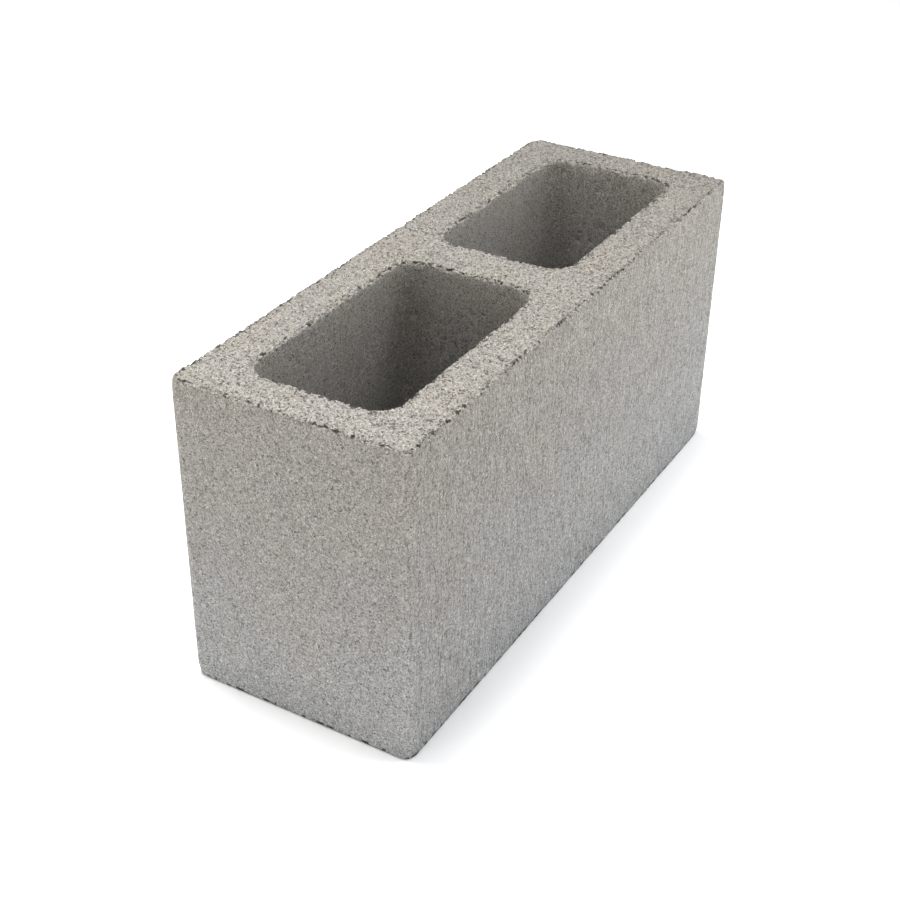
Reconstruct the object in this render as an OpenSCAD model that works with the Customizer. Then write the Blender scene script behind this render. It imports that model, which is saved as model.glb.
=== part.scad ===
// Two-core hollow concrete block, cast in one piece.
// It stands on its lower bed face, as it is laid in a wall.
// X runs along the block, Y across it and Z up; the origin is the centre of the lower bed.

/* [Block] */
// Length of the block from end to end
block_length = 390; // [320:1:500]
// Width of the block across its two face shells
block_width = 140; // [110:1:220]
// Height of the block from bed to bed
block_height = 190; // [90:1:250]
// Radius of the four upright outer corners
corner_radius = 4; // [1:0.5:12]

/* [Shells and webs] */
// Thickness of each long face shell at the upper bed
face_shell = 27.5; // [18:0.5:36]
// Thickness of each end web at the upper bed
end_web = 25; // [18:0.5:45]
// Thickness of the web between the two cores at the upper bed
centre_web = 32; // [18:0.5:60]

/* [Cores] */
// Radius of the upright corners inside each core at the upper bed
core_corner_radius = 14; // [6:0.5:18]
// How far each core wall leans in from the upper bed to the lower bed
core_draft = 2; // [0.5:0.5:5]

/* [Hidden] */
$fn = 96;
// How far the core cutters run past both beds, so that they cut clean through
overcut = 5;
core_length = (block_length - 2 * end_web - centre_web) / 2;
core_width = block_width - 2 * face_shell;
core_pitch = core_length + centre_web;
// Lean of a core wall for each millimetre of height
draft_slope = core_draft / block_height;

// Rectangle centred on the origin with its four corners rounded
module rounded_rectangle(length, width, radius) {
    square([length - 2 * radius, width], center = true);
    square([length, width - 2 * radius], center = true);
    for (x = [-1, 1], y = [-1, 1])
        translate([x * (length / 2 - radius), y * (width / 2 - radius)])
            circle(radius);
}

// Wedge-sided slab whose two faces lean in towards the bottom, cut across the X axis
module drafted_slab(length, depth) {
    low = -overcut;
    high = block_height + overcut;
    lean = function (z) (block_height - z) * draft_slope;
    rotate([90, 0, 0])
        linear_extrude(depth, center = true)
            polygon([
                [-length / 2 + lean(low), low],
                [length / 2 - lean(low), low],
                [length / 2 - lean(high), high],
                [-length / 2 + lean(high), high]
            ]);
}

// Round bar that fills one upright corner of a core, narrower at the bottom
module corner_bar() {
    translate([0, 0, -overcut])
        cylinder(
            h = block_height + 2 * overcut,
            r1 = core_corner_radius - (block_height + overcut) * draft_slope,
            r2 = core_corner_radius + overcut * draft_slope
        );
}

// The tapered core bar of the mould, which leaves one core in the block
module core_bar() {
    straight_x = core_length / 2 - core_corner_radius;
    straight_y = core_width / 2 - core_corner_radius;
    drafted_slab(core_length, 2 * straight_y);
    rotate([0, 0, 90])
        drafted_slab(core_width, 2 * straight_x);
    for (x = [-1, 1], y = [-1, 1])
        translate([x * straight_x, y * straight_y, 0])
            corner_bar();
}

// The block: a solid with rounded upright corners and two cores right through it
module block() {
    color("#b5b3ad")
        difference() {
            linear_extrude(block_height)
                rounded_rectangle(block_length, block_width, corner_radius);
            for (side = [-1, 1])
                translate([side * core_pitch / 2, 0, 0])
                    core_bar();
        }
}

block();
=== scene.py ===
# %% [markdown]
# # A hollow concrete block with two cores
#
# A concrete block is cast in one piece. Nearly dry concrete is shaken and pressed into a steel
# mould, and the block is pushed out of it at once, before the cement sets. That leaves two kinds
# of surface. The sides slid along steel, so they are flat and close, with fine scratches running
# down. The upper bed was struck off and pressed, so its sand grains stand open, and its arrises
# crumble. This lesson builds those two kinds of surface on the shape that the CAD model gives.

import math

import bmesh
import bpy
import numpy as np
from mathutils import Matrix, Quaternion, Vector
from mathutils.kdtree import KDTree


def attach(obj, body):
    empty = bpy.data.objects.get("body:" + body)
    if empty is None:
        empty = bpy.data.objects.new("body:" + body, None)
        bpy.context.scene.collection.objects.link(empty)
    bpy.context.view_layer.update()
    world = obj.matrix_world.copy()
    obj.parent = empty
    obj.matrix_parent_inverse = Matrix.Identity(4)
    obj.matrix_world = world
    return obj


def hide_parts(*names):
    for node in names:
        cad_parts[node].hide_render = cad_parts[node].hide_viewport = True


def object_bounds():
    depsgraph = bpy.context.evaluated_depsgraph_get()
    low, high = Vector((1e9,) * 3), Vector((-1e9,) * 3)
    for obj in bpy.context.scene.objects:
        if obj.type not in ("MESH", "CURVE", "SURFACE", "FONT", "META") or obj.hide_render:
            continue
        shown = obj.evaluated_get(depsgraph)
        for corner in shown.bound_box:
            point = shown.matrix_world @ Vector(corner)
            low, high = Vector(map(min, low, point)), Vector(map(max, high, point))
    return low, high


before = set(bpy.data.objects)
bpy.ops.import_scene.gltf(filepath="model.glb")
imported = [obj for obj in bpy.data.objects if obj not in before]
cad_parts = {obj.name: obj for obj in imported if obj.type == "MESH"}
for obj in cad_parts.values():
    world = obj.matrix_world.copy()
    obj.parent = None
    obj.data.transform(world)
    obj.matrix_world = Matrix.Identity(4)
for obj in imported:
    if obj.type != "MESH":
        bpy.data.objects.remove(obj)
cad_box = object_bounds()
MM = 0.001
low, high = cad_box
centre = (low + high) / 2
print("block, mm:", [round(size / MM, 1) for size in high - low])

# %% [markdown]
# ## Camera
#
# The camera looks down on one end and one long side, as a person standing over the block would.
# A camera can be placed by typing its location, or by turning it round a point on the object. The
# second way is used here, because an azimuth, an elevation and a distance are easier to correct.

# %% Camera
view_azimuth = math.radians(-60.17)
view_elevation = math.radians(31.99)
view_roll = math.radians(0.83)
view_distance = 0.9139
aim = centre + Vector((-20.6, 8.9, -21.6)) * MM

back = Vector((
    math.sin(view_azimuth) * math.cos(view_elevation),
    -math.cos(view_azimuth) * math.cos(view_elevation),
    math.sin(view_elevation),
))
camera = bpy.data.objects.new("camera", bpy.data.cameras.new("camera"))
camera.data.sensor_width = 36
camera.data.lens = 60.94
camera.location = aim + back * view_distance
camera.rotation_mode = "QUATERNION"
camera.rotation_quaternion = (-back).to_track_quat("-Z", "Y") @ Quaternion((0, 0, 1), view_roll)
bpy.context.scene.collection.objects.link(camera)
bpy.context.scene.camera = camera
print("camera at, m:", [round(value, 3) for value in camera.location])

# %% [markdown]
# ## Nodes
#
# The relief and the material below are both built from nodes. One helper adds any node, sets its
# own settings, and fills each socket with either a plain value or another node's output. It hands
# back one output, ready for the next node. Colours are written as sRGB hex values, as a paint
# chart or a colour picker gives them, but a socket takes linear light, so they are converted.

# %% One helper for every node
def add_node(tree, kind, inputs=None, output=0, **settings):
    """Adds a node and returns the output that the next node reads."""
    node = tree.nodes.new(kind)
    for name, value in settings.items():
        setattr(node, name, value)
    for socket, value in (inputs or {}).items():
        if isinstance(value, bpy.types.NodeSocket):
            tree.links.new(value, node.inputs[socket])
        else:
            node.inputs[socket].default_value = value
    return node.outputs[output]


# %% Colours
def linear(hex_colour):
    """An sRGB hex colour as the linear RGBA that a socket takes."""
    channels = [int(hex_colour[i:i + 2], 16) / 255 for i in (0, 2, 4)]
    return [c / 12.92 if c <= 0.04045 else ((c + 0.055) / 1.055) ** 2.4 for c in channels] + [1]


# %% [markdown]
# ## Studio
#
# A matt grey object shows its form best in soft light. A pale world lights the block evenly from
# all round. One large key light hangs almost overhead and a little behind it, so the upper bed is
# the brightest face, and a soft shadow falls along the foot of the long side. Two weak fills light
# that long side and one lights the near end, because the world alone leaves them flat and dull.
# One strong light from the side could do the same, but its shadow on the floor would be hard.

# %% World
scene = bpy.context.scene
scene.view_settings.view_transform = "Standard"
world = bpy.data.worlds.new("studio")
scene.world = world
world.use_nodes = True
sky = world.node_tree.nodes["Background"]
sky.inputs["Color"].default_value = linear("FFFFFF")
sky.inputs["Strength"].default_value = 0.56
print("world strength:", round(sky.inputs["Strength"].default_value, 2))


# %% Softboxes
def toward(azimuth, elevation):
    """The direction from the block to a light, with both angles in degrees."""
    a, e = math.radians(azimuth), math.radians(elevation)
    return Vector((math.sin(a) * math.cos(e), -math.cos(a) * math.cos(e), math.sin(e)))


def add_softbox(name, direction, distance, size, power, colour):
    """A round area light that faces the block's centre."""
    light = bpy.data.objects.new(name, bpy.data.lights.new(name, "AREA"))
    light.data.shape = "DISK"
    light.data.size = size
    light.data.energy = power
    light.data.color = linear(colour)[:3]
    light.location = centre + direction * distance
    light.rotation_mode = "QUATERNION"
    light.rotation_quaternion = (-direction).to_track_quat("-Z", "Y")
    scene.collection.objects.link(light)
    print(name, "at, m:", [round(value, 2) for value in light.location])


white, cool_white = "FFFFFF", "F8FBFF"
add_softbox("key_light", toward(188, 79), distance=1.6, size=0.7, power=32, colour=white)
add_softbox("side_fill", toward(50, 18), distance=0.9, size=0.6, power=3.0, colour=cool_white)
add_softbox("front_fill", toward(20, 45), distance=1.0, size=0.5, power=3.7, colour=cool_white)
add_softbox("end_fill", toward(-100, 10), distance=0.8, size=0.4, power=1.5, colour=white)

# %% Floor
floor_size = 4
floor_mesh = bmesh.new()
bmesh.ops.create_grid(floor_mesh, x_segments=1, y_segments=1, size=floor_size)
floor = bpy.data.objects.new("floor", bpy.data.meshes.new("floor"))
floor_mesh.to_mesh(floor.data)
floor_mesh.free()
scene.collection.objects.link(floor)

floor_paint = bpy.data.materials.new("matt_white_studio_floor")
floor_paint.use_nodes = True
floor_shader = floor_paint.node_tree.nodes["Principled BSDF"]
floor_shader.inputs["Base Color"].default_value = linear("FDFDFD")
floor_shader.inputs["Roughness"].default_value = 0.9
floor_shader.inputs["Specular IOR Level"].default_value = 0.0
floor.data.materials.append(floor_paint)
print("floor, m:", [round(size, 1) for size in floor.dimensions[:2]])

# %% [markdown]
# ## The cast body
#
# The block is one casting, so it is one mesh. Its CAD mesh has long thin triangles, which can't
# carry any relief. A subdivision would keep those slivers. A voxel remesh lays an even net of
# small squares over the same closed shape instead, and every vertex of it can then be moved.
# The remesh blurs every arris a little, so the true arrises are noted first, as points along them.

# %% Merge a copy of the CAD mesh
cad_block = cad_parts["block"]
casting = bmesh.new()
casting.from_mesh(cad_block.data)
bmesh.ops.remove_doubles(casting, verts=casting.verts, dist=0.01 * MM)
bmesh.ops.recalc_face_normals(casting, faces=casting.faces)
print("merged copy:", len(casting.verts), "vertices")

# %% Note where the arrises are
sharp_angle = math.radians(60)
arris_step = 1.0 * MM
arris_points = []
for edge in casting.edges:
    if edge.is_manifold and edge.calc_face_angle() > sharp_angle:
        start, end = (vertex.co.copy() for vertex in edge.verts)
        steps = max(1, round((end - start).length / arris_step))
        arris_points += [start.lerp(end, i / steps) for i in range(steps)]
arrises = KDTree(len(arris_points))
for i, point in enumerate(arris_points):
    arrises.insert(point, i)
arrises.balance()
print("arris length, m:", round(len(arris_points) * arris_step, 2))

# %% The finished piece's object
block = bpy.data.objects.new("cast_block", bpy.data.meshes.new("cast_block"))
casting.to_mesh(block.data)
casting.free()
scene.collection.objects.link(block)
print("piece:", block.name)


# %% A helper that bakes a modifier into the mesh
def apply_modifiers(piece):
    """Puts the piece's modifiers into its mesh and clears them."""
    depsgraph = bpy.context.evaluated_depsgraph_get()
    finished = bpy.data.meshes.new_from_object(piece.evaluated_get(depsgraph))
    piece.modifiers.clear()
    piece.data = finished
    finished.name = piece.name


# %% Remesh
voxel = 0.8 * MM
remesh = block.modifiers.new("remesh", "REMESH")
remesh.mode = "VOXEL"
remesh.voxel_size = voxel
remesh.adaptivity = 0
apply_modifiers(block)
print("net of voxels:", len(block.data.vertices), "vertices")

# %% [markdown]
# ## Where each kind of surface is
#
# Relief differs from place to place, so the mesh first learns where it is. Painting vertex groups
# by hand would do this in the editor. Here each mask is worked out from the vertex's own place:
# how near it is to a bed, to an arris, to an upright arris or to a corner, and how high it is.
# Corners get knocked most, so they are worn round, and the upper ones less than the lower ones.

# %% Read the vertices
vertex_count = len(block.data.vertices)
places = np.empty(vertex_count * 3, dtype=np.float32)
block.data.vertices.foreach_get("co", places)
places = places.reshape(-1, 3)
depth_from_bed = np.minimum(high.z - places[:, 2], places[:, 2] - low.z)
print("deepest vertex below a bed, mm:", round(float(depth_from_bed.max()) / MM, 1))

# %% Measure each vertex's distance from the nearest arris
arris_reach = 6 * MM
from_arris = np.full(vertex_count, arris_reach, dtype=np.float32)
for i in np.flatnonzero(depth_from_bed < arris_reach):
    from_arris[i] = min(arrises.find(places[i])[2], arris_reach)
from_arris_mm = from_arris / MM
print("vertices near an arris:", int((from_arris < arris_reach).sum()))


# %% Helpers for masks
def ramp(values, start, end):
    """0 at start, 1 at end, eased between them."""
    share = np.clip((values - start) / (end - start), 0, 1)
    return share * share * (3 - 2 * share)


def store_mask(name, values):
    """Keeps one number for each vertex, for the nodes to read."""
    attribute = block.data.attributes.new(name, "FLOAT", "POINT")
    attribute.data.foreach_set("value", values.astype(np.float32))
    print("mask", name, "covers", round(float(values.mean()) * 100, 1), "%")


# %% Masks for the beds and arrises
store_mask("bed", 1 - ramp(depth_from_bed, start=0.3 * MM, end=1.6 * MM))
store_mask("upper", ramp(places[:, 2], start=centre.z, end=high.z - 10 * MM))
store_mask("rim", 1 - ramp(from_arris_mm, start=0.2, end=1.5))
store_mask("arris", 1 - ramp(from_arris_mm, start=1.0, end=3.6))

# %% Masks for the corners and upright arrises
upper_corner_wear = 0.5
from_centre = np.abs(places - np.array(centre))
from_corner_mm = np.linalg.norm(from_centre - np.array(high - centre), axis=1) / MM
corner_wear = np.where(places[:, 2] > centre.z, upper_corner_wear, 1)
store_mask("corner", (1 - ramp(from_corner_mm, start=1.5, end=8)) * corner_wear)
beside_end_mm = (high.x - np.abs(places[:, 0])) / MM
beside_face_mm = (high.y - np.abs(places[:, 1])) / MM
near_end = 1 - ramp(beside_end_mm, start=2, end=6)
near_face = 1 - ramp(beside_face_mm, start=2, end=6)
# The upright arrises, where a painted highlight goes.
store_mask("upright", near_end * near_face)

# %% [markdown]
# ## Relief
#
# The relief is carved inwards only, so the block keeps its cast size. Sculpting it by hand would
# take hours, and a bump map alone would leave the outline dead straight. Geometry Nodes moves
# every vertex by noise of a known size in one pass. The vertices move along a blurred normal, so
# near an arris they all go nearly the same way, and the faces seldom fold through each other.

# %% A node tree that reads the masks
relief = bpy.data.node_groups.new("carved_relief", "GeometryNodeTree")
relief.interface.new_socket("Geometry", in_out="INPUT", socket_type="NodeSocketGeometry")
relief.interface.new_socket("Geometry", in_out="OUTPUT", socket_type="NodeSocketGeometry")
uncarved = add_node(relief, "NodeGroupInput")
place = add_node(relief, "GeometryNodeInputPosition")
masks = {
    name: add_node(relief, "GeometryNodeInputNamedAttribute", {"Name": name}, data_type="FLOAT")
    for name in ("bed", "upper", "arris", "corner")
}
print("masks read:", list(masks))


# %% Helpers for layers of relief
def sand_pattern(tree, spot, size_mm, detail, drawn=1.0):
    """Cloudy sand of a real size. A low drawn stretches it down the block, as the mould does."""
    drawn_spot = add_node(
        tree, "ShaderNodeVectorMath", {0: spot, 1: (1, 1, drawn)}, operation="MULTIPLY"
    )
    sand = {"Vector": drawn_spot, "Scale": 1 / (size_mm * MM), "Detail": detail}
    return add_node(tree, "ShaderNodeTexNoise", sand)


def kept_to(depth, *shares):
    """Scales a layer of relief by a number or by masks, which keep it to one part of the block."""
    for share in shares:
        depth = add_node(relief, "ShaderNodeMath", {0: depth, 1: share}, operation="MULTIPLY")
    return depth


def layered(*depths):
    """Lays several layers of relief over each other, so that their depths add up."""
    total = depths[0]
    for depth in depths[1:]:
        total = add_node(relief, "ShaderNodeMath", {0: total, 1: depth}, operation="ADD")
    return total


def hollows(size_mm, detail, start, full, depth_mm):
    """Separate hollows: level where the sand pattern is at start, and full depth at full."""
    pattern = sand_pattern(relief, place, size_mm, detail)
    edges = {"Value": pattern, "From Min": start, "From Max": full, "To Max": depth_mm}
    return add_node(relief, "ShaderNodeMapRange", edges, interpolation_type="SMOOTHSTEP")


# %% [markdown]
# ### The beds
#
# The upper bed is pressed from above, so its sand stands open: grains of about 2 mm, gentle lumps
# of 6 mm, and pits where a grain came away. The lower bed rested on a smooth pallet, so it gets
# only a small share of the same relief. Sculpting could place each grain, but there are thousands.
# Cells give rounded grains that touch, and noise gives the lumps and pits between them.

# %% Open sand on the beds
lower_bed_share = 0.08
grain_size_mm = 2.2
grain_depth_mm = 0.6
lump_depth_mm = 0.9
grain_cells = add_node(
    relief,
    "ShaderNodeTexVoronoi",
    {"Vector": place, "Scale": 1 / (grain_size_mm * MM)},
    output="Distance",
)
open_grain = add_node(
    relief,
    "ShaderNodeMapRange",
    {"Value": grain_cells, "From Min": 0.15, "From Max": 0.75, "To Max": grain_depth_mm},
    interpolation_type="SMOOTHSTEP",
)
lumps = kept_to(sand_pattern(relief, place, size_mm=6, detail=3), lump_depth_mm)
open_pits = hollows(size_mm=2.6, detail=2, start=0.43, full=0.33, depth_mm=1.1)
open_share = add_node(
    relief, "ShaderNodeMath", {0: masks["upper"], 1: lower_bed_share}, operation="MAXIMUM"
)
bed_carve = kept_to(layered(open_grain, lumps, open_pits), masks["bed"], open_share)
print("sand grains on the bed, mm:", grain_size_mm)

# %% [markdown]
# ### The sides
#
# Sliding out of the mould closes the sides to a thin even skin. What is left is very shallow:
# scratches drawn down the block, a slight unevenness, and a pit here and there. They could be left
# to the material, but even this little depth keeps the outline from being ruler-straight. Noise
# whose height is squeezed makes the scratches, because a squeezed pattern comes out drawn long.

# %% Scratches, skin and pits on the sides
scratch_draw = 0.06
scratch_depth_mm = 0.10
skin_depth_mm = 0.12
drawn_sand = sand_pattern(relief, place, size_mm=1.8, detail=1, drawn=scratch_draw)
scratches = kept_to(drawn_sand, scratch_depth_mm)
skin = kept_to(sand_pattern(relief, place, size_mm=3, detail=2), skin_depth_mm)
side_pits = hollows(size_mm=2.4, detail=1, start=0.33, full=0.25, depth_mm=0.5)
side_carve = layered(scratches, skin, side_pits)
print("a scratch is", round(1 / scratch_draw), "times as long as it is wide")

# %% [markdown]
# ### The arrises
#
# An arris of fresh dry concrete has no strength, so bites break out of it when the block is
# stripped and stacked. Large and small bites are mixed, or the arris looks nibbled. The lower
# arrises stand on the pallet and keep most of their edge. Loose grains also leave small deep pits
# along the upper arrises. Each bite could be cut out with a boolean, but noise that only counts
# above a threshold places hundreds at once, no two alike. The pits and the bites are kept apart,
# so that the material can colour them differently.

# %% Bites and pits along the arrises
bite_strength = 0.8
lower_arris_share = 0.2
arris_pit_depth_mm = 1.1
weak_share = add_node(
    relief, "ShaderNodeMath", {0: masks["upper"], 1: lower_arris_share}, operation="MAXIMUM"
)
bite_share = kept_to(weak_share, bite_strength)
large_bites = hollows(size_mm=8, detail=2, start=0.57, full=0.63, depth_mm=1.0)
small_bites = hollows(size_mm=2.6, detail=2, start=0.5, full=0.58, depth_mm=0.7)
broken = kept_to(layered(large_bites, small_bites), bite_share, masks["arris"])
loose_grains = hollows(size_mm=2.8, detail=1, start=0.56, full=0.6, depth_mm=1.0)
arris_pits = kept_to(loose_grains, masks["arris"], masks["upper"])
arris_carve = layered(masks["corner"], broken, kept_to(arris_pits, arris_pit_depth_mm))
print("nodes in the relief so far:", len(relief.nodes))

# %% Move every vertex inwards and keep the depths for the material
normal = add_node(relief, "GeometryNodeInputNormal")
blurred = add_node(
    relief, "GeometryNodeBlurAttribute", {"Value": normal, "Iterations": 14}, data_type="FLOAT_VECTOR"
)
outward = add_node(relief, "ShaderNodeVectorMath", {0: blurred}, operation="NORMALIZE")
carve_mm = layered(bed_carve, side_carve, arris_carve)
offset = add_node(
    relief, "ShaderNodeVectorMath", {0: outward, "Scale": kept_to(carve_mm, -MM)}, operation="SCALE"
)
carved = add_node(relief, "GeometryNodeSetPosition", {"Geometry": uncarved, "Offset": offset})
for name, value in (("carved", carve_mm), ("broken", broken), ("arris_pits", arris_pits)):
    carved = add_node(
        relief,
        "GeometryNodeStoreNamedAttribute",
        {"Geometry": carved, "Name": name, "Value": value},
        data_type="FLOAT",
        domain="POINT",
    )
# The group's output node has no outputs to hand back, so it is added without the helper.
finished_relief = relief.nodes.new("NodeGroupOutput")
relief.links.new(carved, finished_relief.inputs[0])
carving = block.modifiers.new("carving", "NODES")
carving.node_group = relief
apply_modifiers(block)
print("nodes in the relief:", len(relief.nodes))

# %% [markdown]
# ### A lighter mesh
#
# The even net has far more squares than the flat parts need. Decimate takes away the ones that
# matter least, so the grains and the broken arrises keep theirs.

# %% Thin the net where the surface is plain
triangle_limit = 190_000
triangles = sum(len(face.vertices) - 2 for face in block.data.polygons)
thin = block.modifiers.new("thin", "DECIMATE")
thin.ratio = min(1, triangle_limit / triangles)
apply_modifiers(block)
block.data.shade_smooth()
print("triangles:", triangles, "thinned to", len(block.data.polygons))

# %% [markdown]
# ## Dry-cast concrete
#
# The finish is plain grey Portland cement and sharp sand, vibrated, pressed, stripped while damp,
# and never painted. That gives the eye a matt, dusty grey with no gloss, speckled with darker and
# paler sand and pricked with small dark pores. Without the speckle it would look like plaster. A
# picture of concrete could be wrapped round the block, but noise of known sizes has no seams and
# suits all six faces. The smallest dot that the render can show is about 0.6 mm wide. The finest
# sand, of about 0.3 mm, would be lost in it, so it is drawn at 0.8 mm.

# %% Concrete: the shader
concrete = bpy.data.materials.new("dry_cast_grey_concrete")
concrete.use_nodes = True
tree = concrete.node_tree
shader = tree.nodes["Principled BSDF"]
# Quartz sand and cement bend light like glass does, with an IOR of 1.5. The dust on them scatters
# it, so the roughness is high and the sheen is weak.
shader.inputs["Roughness"].default_value = 0.92
shader.inputs["IOR"].default_value = 1.5
shader.inputs["Specular IOR Level"].default_value = 0.25
print("material:", concrete.name)

# %% Concrete: where a spot is on the block
spot = add_node(tree, "ShaderNodeTexCoord", output="Object")
along, across, upward = (
    add_node(tree, "ShaderNodeSeparateXYZ", {0: spot}, output=axis) for axis in range(3)
)
from_mid_length = add_node(tree, "ShaderNodeMath", {0: along}, operation="ABSOLUTE")
from_middle = add_node(tree, "ShaderNodeMath", {0: across}, operation="ABSOLUTE")
surface = {
    name: add_node(tree, "ShaderNodeAttribute", output="Fac", attribute_name=name)
    for name in ("bed", "upper", "rim", "arris", "upright", "carved", "broken", "arris_pits")
}
print("attributes read:", list(surface))

# %% Concrete: shares of the surface that look different
# Each row goes from its first share, where the value is at start, to its last share at the end.
shares = {}
for name, value, start, end, first, last in (
    ("crumbs", surface["broken"], 0.2, 0.6, 0, 1),
    ("arris_band", surface["arris"], 0.2, 1, 0, 0.8),
    ("long_face", from_middle, high.y - 4 * MM, high.y - 1.5 * MM, 0.25, 1),
    ("inside_shells", from_middle, high.y - 20 * MM, high.y - 10 * MM, 1, 0),
    ("inside_ends", from_mid_length, high.x - 18 * MM, high.x - 8 * MM, 1, 0),
    ("loose_grains", surface["arris_pits"], 0.25, 0.6, 0, 1.1),
    # The next two rows are painted shade: a contact shadow round the foot, and notch shade above it.
    ("painted_contact_shadow", upward, low.z + 0.5 * MM, low.z + 1.0 * MM, 0.75, 0),
    ("painted_notch_shade", upward, low.z + 2.0 * MM, low.z + 2.8 * MM, 0.95, 0),
):
    span = {"Value": value, "From Min": start, "From Max": end, "To Min": first, "To Max": last}
    shares[name] = add_node(tree, "ShaderNodeMapRange", span)

crumbled = add_node(
    tree, "ShaderNodeMath", {0: shares["crumbs"], 1: shares["arris_band"]}, operation="MAXIMUM"
)
open_face = add_node(tree, "ShaderNodeMath", {0: surface["bed"], 1: crumbled}, operation="MAXIMUM")
closed_face = add_node(tree, "ShaderNodeMath", {0: 1.0, 1: open_face}, operation="SUBTRACT")
# The insides of the cores, where painted shade goes.
core_shade_share = add_node(
    tree,
    "ShaderNodeMath",
    {0: shares["inside_shells"], 1: shares["inside_ends"]},
    operation="MULTIPLY",
)
streak_share = add_node(
    tree, "ShaderNodeMath", {0: closed_face, 1: shares["long_face"]}, operation="MULTIPLY"
)
lip = add_node(
    tree, "ShaderNodeMath", {0: surface["rim"], 1: surface["upper"]}, operation="MULTIPLY"
)
print("shares of the surface:", list(shares))


# %% [markdown]
# ### Cement paste
#
# Between the grains is grey cement paste. It is a cool grey low down and turns a little warmer
# towards the top, in soft stains of about 35 mm. Light and shade are also painted into it. The
# lower half is made paler towards the foot, painted light that lifts the shade near the floor. The
# upper bed is paler at the near end and darker at the far end, painted light that falls off along
# it. The cores get painted shade, darkest low down, and the upright arrises a painted highlight.
# The lip of the upper bed is made paler too. All this could be painted on one map. Here each change
# is a step of its own that makes the colour before it paler or darker, so that it can be turned up
# or down alone.

# %% Helpers for finishes of the concrete
def speckle(size_mm, detail, start, end, most, drawn=1.0):
    """Specks: 0 where the sand pattern is at start, and most where it is at end."""
    pattern = sand_pattern(tree, spot, size_mm, detail, drawn)
    edges = {"Value": pattern, "From Min": start, "From Max": end, "To Max": most}
    return add_node(tree, "ShaderNodeMapRange", edges)


def tone_and_painted_light(colour, value, start, end, first, last, share=1.0):
    """The colour, made paler or darker from first to last as the value goes from start to end."""
    # This step makes both the concrete's own tones and its painted light and shade.
    span = {"Value": value, "From Min": start, "From Max": end, "To Min": first, "To Max": last}
    gain = add_node(tree, "ShaderNodeMapRange", span)
    # In the colour kind of Mix, sockets 6 and 7 are the two colours and output 2 is the result.
    sockets = {0: share, 6: colour, 7: gain}
    return add_node(tree, "ShaderNodeMix", sockets, output=2, data_type="RGBA", blend_type="MULTIPLY")


# %% Concrete: paste
cool_paste, warm_paste = linear("878786"), linear("8C877F")
stains = speckle(size_mm=35, detail=2, start=0.3, end=0.7, most=0.3)
rise = add_node(
    tree,
    "ShaderNodeMapRange",
    {"Value": upward, "From Min": low.z, "From Max": high.z, "To Min": -0.12, "To Max": 0.72},
)
warmth = add_node(tree, "ShaderNodeMath", {0: stains, 1: rise}, operation="ADD")
paste = add_node(
    tree, "ShaderNodeMix", {0: warmth, 6: cool_paste, 7: warm_paste}, output=2, data_type="RGBA"
)
# Painted light: the lower half is paler towards the foot, to lift the shade near the floor.
paste = tone_and_painted_light(paste, upward, low.z, centre.z, first=1.15, last=1)
# Painted light on the upper bed: paler at the near end and darker at the far end.
paste = tone_and_painted_light(paste, along, low.x, high.x, first=1.13, last=0.82, share=surface["bed"])
# Painted shade in the cores, darkest low down.
paste = tone_and_painted_light(paste, upward, low.z, high.z - 10 * MM, first=0.76, last=1, share=core_shade_share)
# Painted highlight on the upright arrises, where their rounding would catch the light.
paste = tone_and_painted_light(paste, surface["upright"], 0, 1, first=1, last=1.14)
paste = tone_and_painted_light(paste, lip, 0, 1, first=1, last=1.15)
print("paste from", [round(c, 3) for c in cool_paste[:3]], "to", [round(c, 3) for c in warm_paste[:3]])

# %% [markdown]
# ### Sand
#
# Sharp sand is a mix of stones. A few grains of about 1 mm are clearly darker or paler than the
# rest, and finer sand gives every spot a tone of its own. Cells make whole grains, each with a
# random colour whose red is read as the grain's tone. Noise makes the fine sand between them.

# %% Concrete: sand
grain_tones = []
for size_mm in (1.1, 0.75):
    cell_size = {"Vector": spot, "Scale": 1 / (size_mm * MM)}
    cell_colour = add_node(tree, "ShaderNodeTexVoronoi", cell_size, output="Color")
    grain_tones.append(add_node(tree, "ShaderNodeSeparateColor", {0: cell_colour}))
grain, small_grain = grain_tones
fine_sand = sand_pattern(tree, spot, size_mm=0.8, detail=3)
sanded = tone_and_painted_light(paste, grain, start=0.05, end=0.1, first=0.66, last=1)
sanded = tone_and_painted_light(sanded, grain, start=0.86, end=0.94, first=1, last=1.22)
sanded = tone_and_painted_light(sanded, small_grain, start=0, end=1, first=0.84, last=1.16)
sanded = tone_and_painted_light(sanded, fine_sand, start=0.25, end=0.75, first=0.46, last=1.54)
print("nodes in the concrete so far:", len(tree.nodes))

# %% [markdown]
# ### Streaks and pores
#
# The long faces slid farthest along steel, and fine streaks run down them. Pores are the gaps that
# nearly dry concrete can't fill. They are common on the open beds and arrises and rare on the
# sides, and on the long faces they are drawn out into short dashes. A pore looks almost black,
# because light goes in and hardly comes out, so the pores get painted shade. Deep bites and the
# loose-grain pits along the arrises get painted shade in the same way. Pores could be carved like
# the bites, but most are smaller than the mesh's triangles on the sides, so they are made of
# colour and bump.

# %% Concrete: streaks
streak_draw = 0.09
streaks = sand_pattern(tree, spot, size_mm=1.2, detail=2, drawn=streak_draw)
streaked = tone_and_painted_light(sanded, streaks, 0.3, 0.7, first=0.82, last=1.18, share=streak_share)
print("a streak is", round(1 / streak_draw), "times as long as it is wide")

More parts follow.
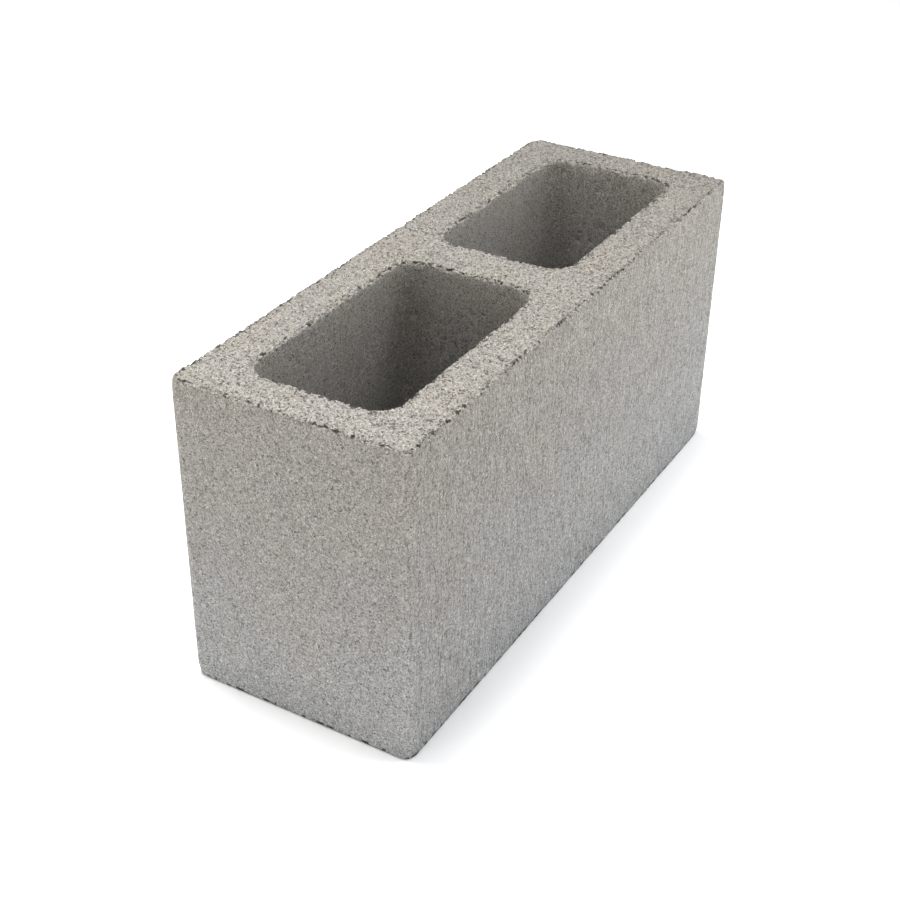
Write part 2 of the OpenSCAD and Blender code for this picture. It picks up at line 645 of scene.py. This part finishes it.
# %% Concrete: pores
pore_darkness = 0.75
open_pores = speckle(size_mm=1.2, detail=3, start=0.42, end=0.37, most=1)
close_pores = speckle(size_mm=1.2, detail=3, start=0.355, end=0.325, most=1)
dashes = speckle(size_mm=1.1, detail=2, start=0.37, end=0.32, most=0.7, drawn=0.25)
bed_pores = add_node(tree, "ShaderNodeMath", {0: open_pores, 1: open_face}, operation="MULTIPLY")
side_dashes = add_node(tree, "ShaderNodeMath", {0: dashes, 1: streak_share}, operation="MULTIPLY")
pores = bed_pores
for more in (close_pores, side_dashes, shares["loose_grains"]):
    pores = add_node(tree, "ShaderNodeMath", {0: pores, 1: more}, operation="MAXIMUM")
darkened = add_node(tree, "ShaderNodeMath", {0: pores, 1: pore_darkness}, operation="MULTIPLY")
# Pores, dashes and loose-grain pits are painted near-black: painted shade in holes.
pitted = add_node(
    tree,
    "ShaderNodeMix",
    {0: darkened, 6: streaked, 7: linear("3A3630")},
    output=2,
    data_type="RGBA",
)
# Painted shade in the deep bites, darker the deeper they are carved.
pitted = tone_and_painted_light(pitted, surface["carved"], start=0.9, end=2.2, first=1, last=0.55)
print("nodes in the concrete so far:", len(tree.nodes))

# %% [markdown]
# ### The foot
#
# A thin dark line of painted contact shadow runs round the foot, where the block meets the floor,
# with painted shade for notches where crumbs are missing. Notches cut into the mesh would be thinner
# than its triangles and fold it, so both are coloured by height instead.

# %% Concrete: painted shadow at the foot
# Where the painted notch shade falls along the foot.
gaps = speckle(size_mm=5, detail=2, start=0.51, end=0.54, most=1)
notches = add_node(
    tree, "ShaderNodeMath", {0: shares["painted_notch_shade"], 1: gaps}, operation="MULTIPLY"
)
foot = add_node(tree, "ShaderNodeMath", {0: shares["painted_contact_shadow"], 1: notches}, operation="MAXIMUM")
# This dark colour is painted contact shadow and painted notch shade.
concrete_colour = add_node(
    tree, "ShaderNodeMix", {0: foot, 6: pitted, 7: linear("2B2926")}, output=2, data_type="RGBA"
)
tree.links.new(concrete_colour, shader.inputs["Base Color"])
print("nodes in the concrete so far:", len(tree.nodes))

# %% [markdown]
# ### Fine roughness
#
# Sand finer than the mesh's triangles is felt only by the light. A bump of half a millimetre
# lifts the fine sand and sinks the pores, with the same patterns that colour them.

# %% Concrete: bump
height = add_node(tree, "ShaderNodeMath", {0: fine_sand, 1: pores}, operation="SUBTRACT")
bump = add_node(tree, "ShaderNodeBump", {"Strength": 0.8, "Distance": 0.5 * MM, "Height": height})
tree.links.new(bump, shader.inputs["Normal"])
block.data.materials.clear()
block.data.materials.append(concrete)
print("nodes in the concrete:", len(tree.nodes))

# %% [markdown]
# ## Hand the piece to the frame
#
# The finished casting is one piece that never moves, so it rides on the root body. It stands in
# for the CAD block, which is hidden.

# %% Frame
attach(block, "root")
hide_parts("block")
